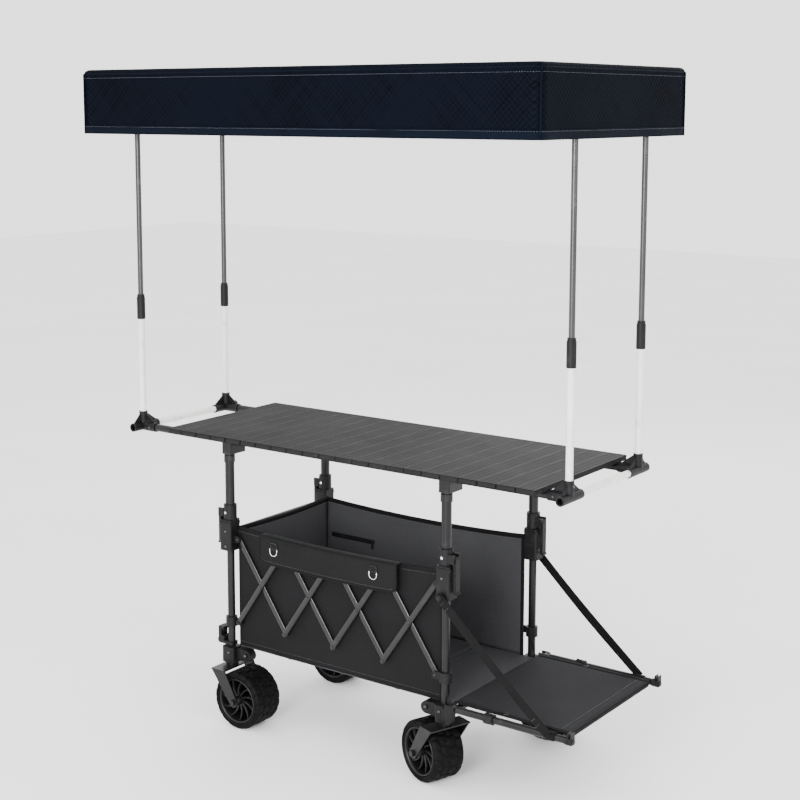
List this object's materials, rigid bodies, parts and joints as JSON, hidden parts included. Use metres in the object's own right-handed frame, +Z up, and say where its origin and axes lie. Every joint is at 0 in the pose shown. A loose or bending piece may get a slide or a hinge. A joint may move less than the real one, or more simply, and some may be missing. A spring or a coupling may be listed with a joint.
{
  "type": "push vending cart",
  "caption": "Folding four-castor push vending cart with a cloth tub, slatted roll-up counter, four telescopic poles and a flat canopy with a valance.",
  "frame": {"origin": "centre of the bounding box at floor level", "axes": "+X toward the tailgate end, +Y toward the far side, +Z up"},
  "size_m": [1.54, 0.75, 1.886],
  "materials": {
    "coated_steel": "satin powder coat",
    "zinc_steel": "satin powder coat",
    "bright_steel": "polished",
    "moulded_nylon": "fine moulded grain",
    "wheel_plastic": "satin moulding",
    "wheel_tread": "matt",
    "slat_aluminium": "grey anodised",
    "shock_cord": "braided",
    "white_tube": "gloss powder coat",
    "grey_tube": "satin powder coat",
    "canopy_twill": "coated twill",
    "tub_canvas": "coated polyester canvas",
    "webbing": "woven webbing"
  },
  "bodies": {
    "root": {"left_posts": "coated_steel", "left_brackets": "moulded_nylon", "left_castings": "moulded_nylon", "left_cross_tubes": "coated_steel", "left_legs": "coated_steel", "left_clips": "moulded_nylon", "near_wall": "tub_canvas", "far_wall": "tub_canvas", "left_wall": "tub_canvas", "tub_floor": "tub_canvas", "near_flap": "tub_canvas"},
    "right_frame": {"right_posts": "coated_steel", "right_brackets": "moulded_nylon", "right_castings": "moulded_nylon", "right_cross_tube": "coated_steel", "right_legs": "coated_steel"},
    "castor_nl": {"fork_nl": "zinc_steel"},
    "castor_fl": {"fork_fl": "zinc_steel"},
    "castor_nr": {"fork_nr": "zinc_steel"},
    "castor_fr": {"fork_fr": "zinc_steel"},
    "wheel_nl": {"rim_nl": "wheel_plastic", "tyre_nl": "wheel_tread"},
    "wheel_fl": {"rim_fl": "wheel_plastic", "tyre_fl": "wheel_tread"},
    "wheel_nr": {"rim_nr": "wheel_plastic", "tyre_nr": "wheel_tread"},
    "wheel_fr": {"rim_fr": "wheel_plastic", "tyre_fr": "wheel_tread"},
    "flip_lever_nl": {"lever_nl": "moulded_nylon"},
    "flip_lever_fl": {"lever_fl": "moulded_nylon"},
    "flip_lever_nr": {"lever_nr": "moulded_nylon"},
    "flip_lever_fr": {"lever_fr": "moulded_nylon"},
    "left_snap": {"left_buttons": "bright_steel"},
    "right_snap": {"right_buttons": "bright_steel"},
    "counter": {"left_inner_legs": "coated_steel", "table_slats": "slat_aluminium", "table_cords": "shock_cord", "table_rails": "coated_steel", "end_tubes": "white_tube", "corner_fittings": "moulded_nylon", "lower_poles": "white_tube", "pole_sleeves": "moulded_nylon"},
    "right_slide_legs": {"right_inner_legs": "coated_steel"},
    "canopy": {"upper_poles": "grey_tube", "canopy_frame": "coated_steel", "canopy_cloth": "canopy_twill"},
    "down_1": {"bar_1_down": "coated_steel"},
    "up_1": {"bar_1_up": "coated_steel"},
    "down_2": {"bar_2_down": "coated_steel"},
    "up_2": {"bar_2_up": "coated_steel"},
    "down_3": {"bar_3_down": "coated_steel"},
    "up_3": {"bar_3_up": "coated_steel"},
    "down_4": {"bar_4_down": "coated_steel"},
    "up_4": {"bar_4_up": "coated_steel"},
    "left_collar": {"left_collars": "moulded_nylon"},
    "right_collar": {"right_collars": "moulded_nylon"},
    "tailgate": {"tail_tubes": "coated_steel", "tail_fittings": "moulded_nylon", "tail_panel": "tub_canvas", "straps": "webbing"}
  },
  "joints": [
    {"name": "fold", "type": "slide", "parent": "root", "child": "right_frame", "axis": [-1, 0, 0], "range_m": [0, 0.41], "deforming": ["near_wall", "far_wall", "tub_floor", "near_flap"]},
    {"name": "bar_1_down_turn", "type": "hinge", "parent": "root", "child": "down_1", "pos_m": [-0.345, 0, 0.5493], "axis": [0, 1, 0], "range_deg": [0, 21.41]},
    {"name": "bar_1_up_turn", "type": "hinge", "parent": "down_1", "child": "up_1", "pos_m": [-0.25875, 0, 0.42505], "axis": [0, 1, 0], "range_deg": [-42.79, 0]},
    {"name": "left_collar_turn", "type": "hinge", "parent": "up_1", "child": "left_collar", "pos_m": [-0.345, 0, 0.30079], "axis": [0, 1, 0], "range_deg": [0, 21.41]},
    {"name": "bar_2_up_turn", "type": "hinge", "parent": "down_1", "child": "up_2", "pos_m": [-0.1725, 0, 0.30079], "axis": [0, 1, 0], "range_deg": [-42.79, 0]},
    {"name": "bar_2_down_turn", "type": "hinge", "parent": "up_2", "child": "down_2", "pos_m": [-0.08625, 0, 0.42505], "axis": [0, 1, 0], "range_deg": [0, 42.79]},
    {"name": "bar_4_up_turn", "type": "hinge", "parent": "right_frame", "child": "up_4", "pos_m": [0.345, 0, 0.5493], "axis": [0, 1, 0], "range_deg": [-21.41, 0]},
    {"name": "bar_4_down_turn", "type": "hinge", "parent": "up_4", "child": "down_4", "pos_m": [0.25875, 0, 0.42505], "axis": [0, 1, 0], "range_deg": [0, 42.79]},
    {"name": "right_collar_turn", "type": "hinge", "parent": "down_4", "child": "right_collar", "pos_m": [0.345, 0, 0.30079], "axis": [0, 1, 0], "range_deg": [-21.41, 0]},
    {"name": "bar_3_down_turn", "type": "hinge", "parent": "up_4", "child": "down_3", "pos_m": [0.1725, 0, 0.30079], "axis": [0, 1, 0], "range_deg": [0, 42.79]},
    {"name": "bar_3_up_turn", "type": "hinge", "parent": "down_3", "child": "up_3", "pos_m": [0.08625, 0, 0.42505], "axis": [0, 1, 0], "range_deg": [-42.79, 0]},
    {"name": "swivel_nl", "type": "hinge", "parent": "root", "child": "castor_nl", "pos_m": [-0.375, -0.22, 0.176], "axis": [0, 0, 1], "continuous": true},
    {"name": "swivel_fl", "type": "hinge", "parent": "root", "child": "castor_fl", "pos_m": [-0.375, 0.22, 0.176], "axis": [0, 0, 1], "continuous": true},
    {"name": "swivel_nr", "type": "hinge", "parent": "right_frame", "child": "castor_nr", "pos_m": [0.375, -0.22, 0.176], "axis": [0, 0, 1], "continuous": true},
    {"name": "swivel_fr", "type": "hinge", "parent": "right_frame", "child": "castor_fr", "pos_m": [0.375, 0.22, 0.176], "axis": [0, 0, 1], "continuous": true},
    {"name": "roll_nl", "type": "hinge", "parent": "castor_nl", "child": "wheel_nl", "pos_m": [-0.317, -0.22, 0.084], "axis": [0, 1, 0], "continuous": true},
    {"name": "roll_fl", "type": "hinge", "parent": "castor_fl", "child": "wheel_fl", "pos_m": [-0.317, 0.22, 0.084], "axis": [0, 1, 0], "continuous": true},
    {"name": "roll_nr", "type": "hinge", "parent": "castor_nr", "child": "wheel_nr", "pos_m": [0.3205, -0.20016, 0.084], "axis": [-0.342, -0.9397, 0], "continuous": true},
    {"name": "roll_fr", "type": "hinge", "parent": "castor_fr", "child": "wheel_fr", "pos_m": [0.43173, 0.23206, 0.084], "axis": [-0.2079, 0.9781, 0], "continuous": true},
    {"name": "flip_nl", "type": "hinge", "parent": "root", "child": "flip_lever_nl", "pos_m": [-0.403, -0.22, 0.6253], "axis": [0, 1, 0], "range_deg": [0, 110]},
    {"name": "flip_fl", "type": "hinge", "parent": "root", "child": "flip_lever_fl", "pos_m": [-0.403, 0.22, 0.6253], "axis": [0, 1, 0], "range_deg": [0, 110]},
    {"name": "flip_nr", "type": "hinge", "parent": "right_frame", "child": "flip_lever_nr", "pos_m": [0.403, -0.22, 0.6253], "axis": [0, -1, 0], "range_deg": [0, 110]},
    {"name": "flip_fr", "type": "hinge", "parent": "right_frame", "child": "flip_lever_fr", "pos_m": [0.403, 0.22, 0.6253], "axis": [0, -1, 0], "range_deg": [0, 110]},
    {"name": "left_snap_press", "type": "slide", "parent": "root", "child": "left_snap", "axis": [0, 1, 0], "range_m": [0, 0.005], "stiffness_N_per_m": 400},
    {"name": "right_snap_press", "type": "slide", "parent": "right_frame", "child": "right_snap", "axis": [0, 1, 0], "range_m": [0, 0.005], "stiffness_N_per_m": 400},
    {"name": "counter_lift", "type": "slide", "parent": "root", "child": "counter", "axis": [0, 0, 1], "range_m": [0, 0.09]},
    {"name": "right_leg_lift", "type": "slide", "parent": "right_frame", "child": "right_slide_legs", "axis": [0, 0, 1], "range_m": [0, 0.09]},
    {"name": "canopy_slide", "type": "slide", "parent": "counter", "child": "canopy", "axis": [0, 0, 1], "range_m": [-0.24, 0]},
    {"name": "tailgate_swing", "type": "hinge", "parent": "right_frame", "child": "tailgate", "pos_m": [0.412, 0, 0.228], "axis": [0, -1, 0], "range_deg": [0, 85], "deforming": ["straps"]}
  ],
  "couplings": [
    {"joint": "bar_1_down_turn", "follows": "fold", "rad_per_m": 0.91042},
    {"joint": "bar_1_up_turn", "follows": "fold", "rad_per_m": -1.8208},
    {"joint": "left_collar_turn", "follows": "fold", "rad_per_m": 0.91042},
    {"joint": "bar_2_up_turn", "follows": "fold", "rad_per_m": -1.8208},
    {"joint": "bar_2_down_turn", "follows": "fold", "rad_per_m": 1.8208},
    {"joint": "bar_4_up_turn", "follows": "fold", "rad_per_m": -0.91042},
    {"joint": "bar_4_down_turn", "follows": "fold", "rad_per_m": 1.8208},
    {"joint": "right_collar_turn", "follows": "fold", "rad_per_m": -0.91042},
    {"joint": "bar_3_down_turn", "follows": "fold", "rad_per_m": 1.8208},
    {"joint": "bar_3_up_turn", "follows": "fold", "rad_per_m": -1.8208},
    {"joint": "right_leg_lift", "follows": "counter_lift", "ratio": 1}
  ]
}
